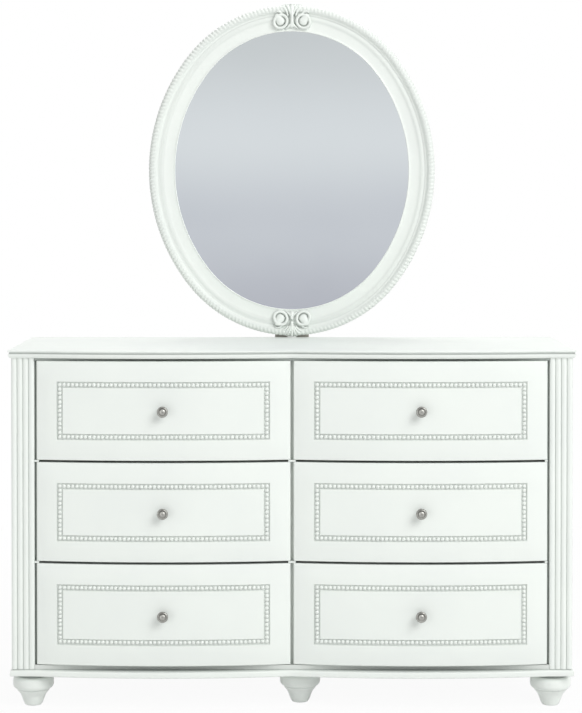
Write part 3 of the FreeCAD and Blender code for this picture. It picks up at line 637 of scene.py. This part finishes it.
def drawerFront(middle, low, height, levelShade):
    # A grid whose depth is the face less the bow's reach plus the depth that its distance from the edge gives
    corner = drawer["edgeIn"] * (1 - np.cos(np.radians(np.linspace(0, 90, drawer["cornerSteps"]))))
    corner = np.append(corner, [drawer["bevelIn"] - drawer["bevelWide"], drawer["bevelIn"]])
    wall = drawer["channelHalf"] - drawer["channelWall"]
    channel = drawer["channel"] + np.array([-drawer["channelHalf"], -wall, wall, drawer["channelHalf"]])
    insets = np.concatenate([corner, channel])
    x = edgeLines(insets, drawer["width"] / 2, drawer["columns"])
    z = edgeLines(insets, height / 2, drawer["lines"])
    gridX, gridZ = np.meshgrid(x, z)
    inset = np.minimum(drawer["width"] / 2 - np.abs(gridX), height / 2 - np.abs(gridZ))
    y = drawer["face"] - bowForward(gridX + middle) + frontDepth(inset)
    front = np.stack([gridX + middle, y, gridZ + low + height / 2], -1)
    points, faces = reliefBlock(front, drawer["face"] + drawer["thick"])
    # The block's level edges carry painted shade, and its upright ones none; the bead channel on the face
    # carries painted shade too
    onLevel = np.abs(points[:, 2] - low - height / 2) > height / 2 - 0.1
    paintedShade = np.where(onLevel, levelShade, 0.0)
    face = drawer["paintedShade"] * channelShare(inset).reshape(-1)
    paintedShade[: inset.size] = np.where(onLevel[: inset.size], levelShade, face)
    return points, faces, paintedShade


def beadPlaces(middle, low, height):
    # Even steps round a rectangle, a bead on each corner, its centre radius - proud behind the bowed face
    halfX = drawer["width"] / 2 - drawer["channel"]
    halfZ = height / 2 - drawer["channel"]
    acrossCount = round(2 * halfX / bead["pitch"])
    upCount = round(2 * halfZ / bead["pitch"])
    across = np.linspace(-halfX, halfX, acrossCount + 1)
    up = np.linspace(-halfZ, halfZ, upCount + 1)[1:-1]
    x = np.concatenate([across, across, np.full(len(up), -halfX), np.full(len(up), halfX)])
    z = np.concatenate([np.full(len(across), -halfZ), np.full(len(across), halfZ), up, up])
    y = drawer["face"] - bowForward(x + middle) + bead["radius"] - bead["proud"]
    return np.stack([x + middle, y, z + low + height / 2], -1)


def beadString(places):
    # One small faceted ball, radius * (sin p cos t, -cos p, sin p sin t), its back cut off inside the
    # channel, set down at every place
    polar = np.radians(bead["angles"])[:, None]
    turn = np.linspace(0, 2 * math.pi, bead["turns"], endpoint=False)[None]
    across, forward, up = np.broadcast_arrays(
        np.sin(polar) * np.cos(turn), -np.cos(polar), np.sin(polar) * np.sin(turn)
    )
    ring = np.stack([across, forward, up], -1).reshape(-1, 3)
    ball = np.vstack([ring[::-1], [[0, -1, 0]]]) * bead["radius"]
    rings, turns = len(bead["angles"]), bead["turns"]
    cells = np.array(gridFaces(rings, turns))
    pole = rings * turns
    last = (rings - 1) * turns
    tips = [[last + k, last + (k + 1) % turns, pole] for k in range(turns)]
    back = [list(range(turns))[::-1]]
    count = pole + 1
    starts = np.arange(len(places)) * count
    points = (places[:, None] + ball[None]).reshape(-1, 3)
    faces = (cells[None] + starts[:, None, None]).reshape(-1, 4).tolist()
    faces += (np.array(tips)[None] + starts[:, None, None]).reshape(-1, 3).tolist()
    faces += (np.array(back)[None] + starts[:, None, None]).reshape(-1, turns).tolist()
    # Painted shade darkens the rear rings, where each bead sits down in the channel
    paintedShade = np.append(np.repeat(bead["paintedShade"], turns), 0)
    return points, faces, np.tile(paintedShade, len(places))


def softBand(distance, place, reach, share):
    # A soft band of painted shade, and of tarnish at the knob's centre: share * exp(-((distance - place) /
    # reach)^2)
    return share * np.exp(-(((distance - place) / reach) ** 2))


# Tarnish darkens the stem and the centre; painted shade darkens the ring and rim, heavier above as a painted
# reflection
knobLine = np.array(knob["profile"])
radius, onFace = knobLine[:, 0], knobLine[:, 1] > knob["faceLow"]
rimShade = np.clip((radius - knob["rimStart"]) / knob["rimReach"], 0, 1) * knob["rimShare"]
ringShade = np.maximum(softBand(radius, *knob["ring"]) * onFace, rimShade)
steady = np.maximum(softBand(radius, *knob["dot"]) * onFace, knobLine[:, 1] < knob["stemEnd"])
turn = np.linspace(0, 2 * math.pi, knob["steps"], endpoint=False)
upper = (knob["upper"][0] + knob["upper"][1] * np.sin(turn)) ** 2
knobTarnishAndShade = np.maximum(ringShade[:, None] * upper, steady[:, None]).reshape(-1)

for row, (low, height) in drawer["rows"].items():
    for side, sign in (("left", -1), ("right", 1)):
        body = f"{row}_{side}_drawer"
        middle = sign * drawer["middle"]
        drop = drawer["drop"] if row == "bottom" else 0.0
        front = drawerFront(middle, low - drop, height + drop, drawer["levelShade"][row])
        paintedPiece(f"bowedFront.{row}.{side}", *front, body, [f"{body}_front"], 30)
        border = beadString(beadPlaces(middle, low, height))
        paintedPiece(f"beadString.{row}.{side}", *border, body, [f"{row}_{side}_bead_border"], 80)
        centre = (middle, drawer["face"] - bay["bow"], low + height / 2)
        points, faces = lathe(knobLine, knob["steps"], centre, "forward")
        name, hidden = f"turnedKnob.{row}.{side}", [f"{row}_{side}_knob"]
        makePiece(name, points, faces, satinNickel, body, hidden, 40, knobTarnishAndShade)
        centre = (middle, knobScrew["inside"], low + height / 2)
        points, faces = lathe(np.array(knobScrew["profile"]), knobScrew["steps"], centre, "back")
        makePiece(f"knobScrew.{row}.{side}", points, faces, zincSteel, body)
print("drawers made")

# Stop blocks where the gaps cross, a strip under the top, and a tongue at each front's outer edge; the strip,
# the tongues and the shade blocks are grey painted shade for the gaps
stops = {
    "depths": (-212.5, -191.0), "clear": 0.7, "gaps": [(358.5, 364.0), (605.5, 611.0)],
    "spans": [(-627.4, -616.2), (-9.0, 9.0), (616.2, 622.4)],
    "shadeSpan": (622.4, 627.4), "shadeDepths": (-201.5, -191.0),
    "shadeGlaze": 1.0, "topSpan": (-627.4, 627.4), "topHeights": (853.3, 859.0), "topShade": 0.95,
    "tongueIn": 621.9, "tongueOut": 626.5, "tongueDepths": (-201.5, -194.2), "tongueLow": 0.2,
}


def blockShell(span, heights, depths):
    # A plain block between two places across, two heights and two depths
    (left, right), (front, back) = span, depths
    outline = np.array([[left, back], [left, front], [right, front], [right, back]])
    return ringStack(outline, np.zeros_like(outline), np.array([[0.0, heights[0]], [0.0, heights[1]]]))


def evenShadeBlocks(name, shells, paintedShade, body):
    # Blocks with one share of painted shade all over
    points, faces = joinShells(shells)
    paintedPiece(name, points, faces, np.full(len(points), paintedShade), body)


plainBlocks, shadeBlocks = [], []
for low, high in stops["gaps"]:
    heights = (low + stops["clear"], high - stops["clear"])
    plainBlocks += [blockShell(span, heights, stops["depths"]) for span in stops["spans"]]
    shadeBlocks.append(blockShell(stops["shadeSpan"], heights, stops["shadeDepths"]))
evenShadeBlocks("stopBlocks", plainBlocks, 0.0, "dresser_case")
evenShadeBlocks("shadeBlocks", shadeBlocks, stops["shadeGlaze"], "dresser_case")
topStrip = blockShell(stops["topSpan"], stops["topHeights"], stops["depths"])
evenShadeBlocks("topStrip", [topStrip], stops["topShade"], "dresser_case")
for row, (low, height) in drawer["rows"].items():
    for side, sign in (("left", -1), ("right", 1)):
        span = sorted((sign * stops["tongueIn"], sign * stops["tongueOut"]))
        heights = (low + stops["tongueLow"], low + height - stops["tongueLow"])
        tongue = [blockShell(span, heights, stops["tongueDepths"])]
        evenShadeBlocks(f"edgeTongue.{row}.{side}", tongue, stops["shadeGlaze"], f"{row}_{side}_drawer")
print("stop blocks and tongues made")

# Mirror frame
mirror = {
    "halfWidth": 379.0, "halfHeight": 438.0, "endRadius": 348.0, "middle": 1322.0, "backPlane": 243.0,
    "ridges": 250, "perRidge": 6, "ridgeDepth": 2.0, "slant": 0.45, "rimWidth": 20.0,
    "ridgeEnd": 15.0, "ridgeFade": 4, "ridgeLow": 8.0, "ridgeRise": 3, "ridgePull": 0.6,
    "valleyShade": 0.12, "shadeLow": 6, "pathSteps": 7200,
    # the seams' share is painted shade laid in the creases
    "seams": [  # inset, reach and share of glaze
        (3.0, 3.0, 0.08), (14.0, 5.0, 0.14), (25.0, 1.8, 0.22), (31.0, 6.0, 0.1), (37.5, 2.5, 0.12),
    ],
}


def ovalPath(count):
    # Four arcs that meet smoothly. The normal's angle advances by arc length over radius, so steps are even
    excess = mirror["halfHeight"] - mirror["halfWidth"]
    endCentre = mirror["halfHeight"] - mirror["endRadius"]
    sideCentre = excess * (2 * endCentre - excess) / (2 * (endCentre - excess))
    sideRadius = mirror["halfWidth"] + sideCentre
    joint = math.atan2(endCentre, sideCentre)
    angle = np.linspace(0, 2 * math.pi, mirror["pathSteps"] + 1)

    def onSide(a):
        return np.abs(np.sin(a)) < math.sin(joint)

    radius = np.where(onSide(angle), sideRadius, mirror["endRadius"])
    length = np.concatenate([[0], np.cumsum((radius[1:] + radius[:-1]) / 2 * np.diff(angle))])
    turn = np.interp(np.arange(count) / count * length[-1], length, angle)
    normal = np.stack([np.cos(turn), np.sin(turn)], -1)
    side = onSide(turn)
    centreX = np.where(side, -np.sign(np.cos(turn)) * sideCentre, 0.0)
    centreZ = np.where(side, 0.0, np.sign(np.sin(turn)) * endCentre)
    reach = np.where(side, sideRadius, mirror["endRadius"])
    return np.stack([centreX, centreZ], -1) + reach[:, None] * normal, normal


# The frame's section as (inward from the rim, height over the back): rim, low bead, cove and sight edge
frameSection = np.vstack([
    [[1.4, 0.0], [1.4, 8.0]],
    arcPoints((9.2, 11.4), 10.6, 200, 42, 13),
    [[18.6, 16.6], [19.8, 14.8], [21.0, 14.0], [22.6, 13.8], [24.2, 13.6], [25.2, 13.0], [26.4, 12.6]],
    [[28.0, 12.9], [30.4, 13.4], [32.8, 13.6], [35.2, 13.3], [37.2, 12.7], [39.2, 11.9], [41.2, 11.3]],
    [[44.0, 10.8], [48.0, 10.3], [53.0, 9.9], [58.0, 9.7], [62.0, 9.7], [65.0, 9.9]],
    arcPoints((67.2, 9.4), 1.7, 140, 4, 5),
    [[68.9, 9.3], [68.9, 9.0], [59.0, 9.0], [59.0, 0.0]],
])


def mirrorFrame(section):
    # The section carried round the oval; ridges run across the rim as rounded lobes |sin| with sharp valleys
    count = mirror["ridges"] * mirror["perRidge"]
    edge, normal = ovalPath(count)
    inward, height = section[:, 0, None], section[:, 1, None]
    onRim = np.clip((mirror["ridgeEnd"] - inward) / mirror["ridgeFade"], 0, 1)
    onRim *= np.clip((height - mirror["ridgeLow"]) / mirror["ridgeRise"], 0, 1)
    lean = mirror["slant"] * inward / mirror["rimWidth"]
    phase = math.pi * (np.arange(count)[None] / mirror["perRidge"] + lean)
    lobe = (1 - np.abs(np.sin(phase))) * onRim * mirror["ridgeDepth"]
    acrossRim = np.clip(inward / mirror["rimWidth"], 0, 1)
    inward = inward + lobe * np.cos(acrossRim * math.pi) * mirror["ridgePull"]
    x = edge[None, :, 0] - inward * normal[None, :, 0]
    z = edge[None, :, 1] - inward * normal[None, :, 1] + mirror["middle"]
    y = mirror["backPlane"] - (height - lobe)
    points = np.stack([x, y, z], -1).reshape(-1, 3)
    # Painted shade lies between the lobes, at the foot of the rim and in the seam beside the low bead
    seams = sum(softBand(section[:, 0, None], *seam) for seam in mirror["seams"])
    seams *= height > mirror["shadeLow"]
    paintedShade = np.clip(mirror["valleyShade"] * lobe / mirror["ridgeDepth"] + seams, 0, 1)
    return points, gridFaces(len(section), count, ringRows=True), paintedShade.reshape(-1)


paintedPiece("ropeFrame", *mirrorFrame(frameSection), "dresser_case", ["mirror_frame"], 75)
print("mirror frame made")

# Carved scrolls
scroll = {
    "half": 62.0, "innerEnd": 64.5, "columns": 210, "rows": 126, "back": 9.5, "ground": 1.6, "blend": 1.6,
    "crown": {"top": (3.2, 34.0), "bottom": (4.4, 18.0)},  # rise over the rim, half-width
    "sideInset": 1.5, "crownPower": 6,
    "outside": (3, 12.0),  # inset from which the moulding's height counts, and the height before it
    "stand": ([-8, 0, 26, 45, 62], [15.5, 17.5, 18.5, 15.0, 12.0]),  # insets, heights of the ground
    "paintedShade": 0.42, "shadeReach": 2.0, "shadeRise": 2, "shadeFade": (1.15, 4.5),
}
volute = {
    "eye": {"top": (30.0, 41.4), "bottom": (30.0, 44.0)}, "ball": 11.4, "ballHigh": 6.6,
    "ring": 17.2, "ringHalf": 4.3, "ringHigh": 6.2, "root": (9.0, -14.0), "rootHalf": 8.0,
    "ringSteps": 150, "rootSteps": 20,
}
# Strokes as (path of (across, inward), half-widths along it, heights along it), for one half of two alike
leafStrokes = {
    "top": [
        (
            [(0, 54), (0, 36), (0, 18), (0, -3)],
            [6.4, 5.0, 4.6, 4.8, 6.4, 4.6], [5.5, 6.5, 7.0, 7.0, 6.5, 4.0],
        ),
        ([(4.0, 24), (6.0, 12), (10.5, 5), (15.0, 0.5)], [2.6, 3.6, 4.0, 3.0], [5.0, 6.5, 6.0, 3.5]),
        ([(11.0, 27), (12.5, 16), (18.0, 6), (27.0, 5)], [2.6, 3.6, 4.2, 3.0], [5.0, 6.0, 5.5, 3.0]),
        ([(26.0, 22), (33.0, 14), (39.0, 12), (44.0, 17)], [2.4, 3.6, 3.6, 2.2], [4.0, 5.0, 4.5, 2.5]),
        ([(5.0, 52), (9.0, 57), (15.0, 61)], [3.6, 3.4, 2.4], [5.5, 5.0, 3.5]),
    ],
    "bottom": [
        ([(0, 34), (0, 22), (0, 12), (0, -1)], [4.6, 4.4, 4.2, 3.8, 3.0], [6.5, 7.0, 7.0, 6.5, 4.5]),
        ([(0, 58), (0, 50), (0, 45)], [6.8, 5.4, 4.6], [5.0, 6.0, 6.0]),
        ([(2.0, 26), (3.6, 16), (7.0, 8), (10.5, 1)], [2.8, 3.2, 3.2, 2.2], [6.0, 7.0, 6.5, 4.0]),
        ([(6.0, 24), (9.0, 15), (14.0, 9), (19.0, 4)], [2.6, 3.2, 3.2, 2.2], [5.5, 6.5, 6.0, 3.5]),
        ([(11.0, 24), (14.0, 17), (21.0, 12), (29.0, 9)], [2.4, 3.2, 3.4, 2.4], [5.0, 6.0, 5.5, 3.0]),
        ([(26.0, 24), (33.0, 18), (39.0, 15), (44.0, 20)], [2.2, 3.2, 3.2, 2.0], [3.5, 4.5, 4.0, 2.5]),
        ([(5.0, 54), (9.0, 58), (15.0, 62)], [3.4, 3.2, 2.2], [5.0, 4.5, 3.0]),
    ],
}


def ridge(gridA, gridT, curve, width, height):
    # A ridge of half-round section along a line of points: height * sqrt(1 - (distance / width)^2)
    away = (gridA[..., None] - curve[:, 0]) ** 2 + (gridT[..., None] - curve[:, 1]) ** 2
    return np.max(height * np.sqrt(np.clip(1 - away / width ** 2, 0, 1)), -1)


def stroke(gridA, gridT, path, widths, heights, samples=60):
    # A ridge along the sum of comb(n, k) * t^k * (1 - t)^(n - k) * point k, the curve its points pull on
    along = np.linspace(0, 1, samples)
    order = len(path) - 1
    pulls = [math.comb(order, k) * along ** k * (1 - along) ** (order - k) for k in range(order + 1)]
    curve = np.stack(pulls, -1) @ np.array(path, float)
    width = np.interp(along, np.linspace(0, 1, len(widths)), widths)
    height = np.interp(along, np.linspace(0, 1, len(heights)), heights)
    return ridge(gridA, gridT, curve, width, height)


def voluteShape(gridA, gridT, eye, grow):
    # The higher of a ring ridge, eye + ring * (cos, sin), and a ball that narrows on its way out to the rim
    angle = np.linspace(-math.pi, math.pi, volute["ringSteps"])
    curve = np.stack([eye[0] + volute["ring"] * np.cos(angle), eye[1] + volute["ring"] * np.sin(angle)], -1)
    spiral = ridge(gridA, gridT, curve, volute["ringHalf"] + grow, volute["ringHigh"])
    steps = volute["rootSteps"]
    root = np.linspace(0, 1, steps)[:, None]
    neck = np.array([eye]) + root * np.array([volute["root"]])
    wide = np.linspace(volute["ball"], volute["rootHalf"], steps) + grow
    high = np.linspace(volute["ballHigh"], volute["ringHigh"], steps)
    return np.maximum(spiral, ridge(gridA, gridT, neck, wide, high))


def carving(across, inward, end, grow=0.0):
    # The highest of the volute and all the strokes at each place, the same at both sides of the middle
    across = np.abs(across)
    shape = voluteShape(across, inward, volute["eye"][end], grow)
    for path, widths, heights in leafStrokes[end]:
        shape = np.maximum(shape, stroke(across, inward, path, np.array(widths) + grow, heights))
    return shape


def scrollPiece(end):
    # Carved places reach stand + carved over the frame's back, and the rest sinks just under the moulding.
    # The outer edge is sideInset - (rise + sideInset) * exp(-(a / wide)^crownPower)
    sign = 1 if end == "top" else -1
    a = np.linspace(-scroll["half"], scroll["half"], scroll["columns"])
    rise, wide = scroll["crown"][end]
    crown = scroll["sideInset"] - (rise + scroll["sideInset"]) * np.exp(-((a / wide) ** scroll["crownPower"]))
    share = np.linspace(1, 0, scroll["rows"])[:, None]
    gridT = crown[None] + share * (scroll["innerEnd"] - crown[None])
    angle = np.broadcast_to(a[None], gridT.shape) / mirror["endRadius"]
    reach = mirror["endRadius"] - gridT
    x = reach * np.sin(angle)
    moulding = frameSection[2:-4]  # the frame's face, without the rim's foot and the sight edge
    surface = np.interp(gridT, moulding[:, 0], moulding[:, 1])
    surface = np.where(gridT < scroll["outside"][0], scroll["outside"][1], surface)
    stand = np.interp(gridT, *scroll["stand"])
    carved = carving(x, gridT, end)
    blend = np.clip(carved / scroll["blend"], 0, 1)
    ground = surface - scroll["ground"]
    height = ground * (1 - blend) + np.maximum(stand + carved, ground) * blend
    # Painted shade lies in the grooves: close beside a ridge, and low on it
    near = np.clip(carving(x, gridT, end, scroll["shadeReach"]) / scroll["shadeRise"], 0, 1)
    paintedShade = scroll["paintedShade"] * near * np.clip(scroll["shadeFade"][0] - carved / scroll["shadeFade"][1], 0, 1)
    endCentre = mirror["halfHeight"] - mirror["endRadius"]
    z = mirror["middle"] + sign * (endCentre + reach * np.cos(angle))
    y = mirror["backPlane"] - height
    front = np.stack([x, y, z], -1)
    if sign < 0:
        front, paintedShade = front[::-1], paintedShade[::-1]
    points, faces = reliefBlock(front, mirror["backPlane"] - scroll["back"])
    return points, faces, np.append(paintedShade.reshape(-1), np.zeros(len(points) - paintedShade.size))


for end in ("top", "bottom"):
    paintedPiece(f"carvedScroll.{end}", *scrollPiece(end), "dresser_case", [f"mirror_scroll_{end}"], 60)
print("scrolls made")

# CAD nodes that keep their shape
keptFinish = {
    "side_panel_left": whitePaint, "side_panel_right": whitePaint, "centre_stile": stilePaint,
    "front_rails": railPaint, "centre_partition": boxWood, "rear_rails": railWood, "runner_cleats": boxWood,
    "back_panel": plyBoard, "case_runners": zincSteel, "mirror_support_left": battenWood,
    "mirror_support_right": battenWood, "mirror_glass": silvered, "mirror_backboard": plyBoard,
}
for row in drawer["rows"]:
    for side in ("left", "right"):
        keptFinish[f"{row}_{side}_drawer_box"] = boxWood
        keptFinish[f"{row}_{side}_drawer_bottom"] = plyBoard
        keptFinish[f"{row}_{side}_drawer_runners"] = zincSteel
for name, finish in keptFinish.items():
    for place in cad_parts[name].material_slots:
        place.material = finish
print("kept nodes finished")


# Floor and background
studio = {
    "floorHalf": 14.0, "floorColour": (0.9, 0.9, 0.9, 1), "floorRoughness": 0.9, "floorSpecular": 0.1,
    "floorDiffuse": 0.06, "fadeStart": 0.9, "fadeEnd": 2.6,  # share that takes shadows, metres
    "worldLight": 0.41,
}


def seenRay(tree):
    # 1 for rays that the camera, a gloss or a glass sees
    path = addNode(tree, "ShaderNodeLightPath").outputs
    first = addNode(tree, "ShaderNodeMath", {"operation": "MAXIMUM"})
    second = addNode(tree, "ShaderNodeMath", {"operation": "MAXIMUM"})
    fill(tree, first.inputs[0], path["Is Camera Ray"])
    fill(tree, first.inputs[1], path["Is Glossy Ray"])
    fill(tree, second.inputs[0], first.outputs[0])
    fill(tree, second.inputs[1], path["Is Transmission Ray"])
    return second.outputs[0]


half = studio["floorHalf"]
floorMesh = bpy.data.meshes.new("floor")
floorCorners = [(-half, -half, 0), (half, -half, 0), (half, half, 0), (-half, half, 0)]
floorMesh.from_pydata(floorCorners, [], [(0, 1, 2, 3)])
floor = bpy.data.objects.new("floor", floorMesh)
bpy.context.scene.collection.objects.link(floor)
floorFinish, tree, shader, coordinates = newMaterial("paleFloor")
shader.inputs["Base Color"].default_value = studio["floorColour"]
shader.inputs["Roughness"].default_value = studio["floorRoughness"]
shader.inputs["Specular IOR Level"].default_value = studio["floorSpecular"]
glow = addNode(tree, "ShaderNodeEmission", Color=white, Strength=1.0)
share = addNode(tree, "ShaderNodeMath", {"operation": "MULTIPLY"})
fill(tree, share.inputs[0], seenRay(tree))
# The floor takes shadows near the furniture and fades to plain white away from it
distance = addNode(tree, "ShaderNodeVectorMath", {"operation": "LENGTH"})
fill(tree, distance.inputs[0], coordinates["Object"])
fadeRange = (studio["fadeStart"], studio["fadeEnd"], 1 - studio["floorDiffuse"], 1.0)
fill(tree, share.inputs[1], spread(tree, distance.outputs["Value"], *fadeRange))
blendShader = addNode(tree, "ShaderNodeMixShader")
fill(tree, blendShader.inputs[0], share.outputs[0])
tree.links.new(shader.outputs[0], blendShader.inputs[1])
tree.links.new(glow.outputs[0], blendShader.inputs[2])
tree.links.new(blendShader.outputs[0], tree.nodes["Material Output"].inputs["Surface"])
floorMesh.materials.append(floorFinish)

world = bpy.data.worlds.new("studio")
bpy.context.scene.world = world
world.use_nodes = True
tree = world.node_tree
background = tree.nodes["Background"]
background.inputs["Color"].default_value = white
fill(tree, background.inputs["Strength"], spread(tree, seenRay(tree), 0, 1, studio["worldLight"], 1.0))
print("studio made")
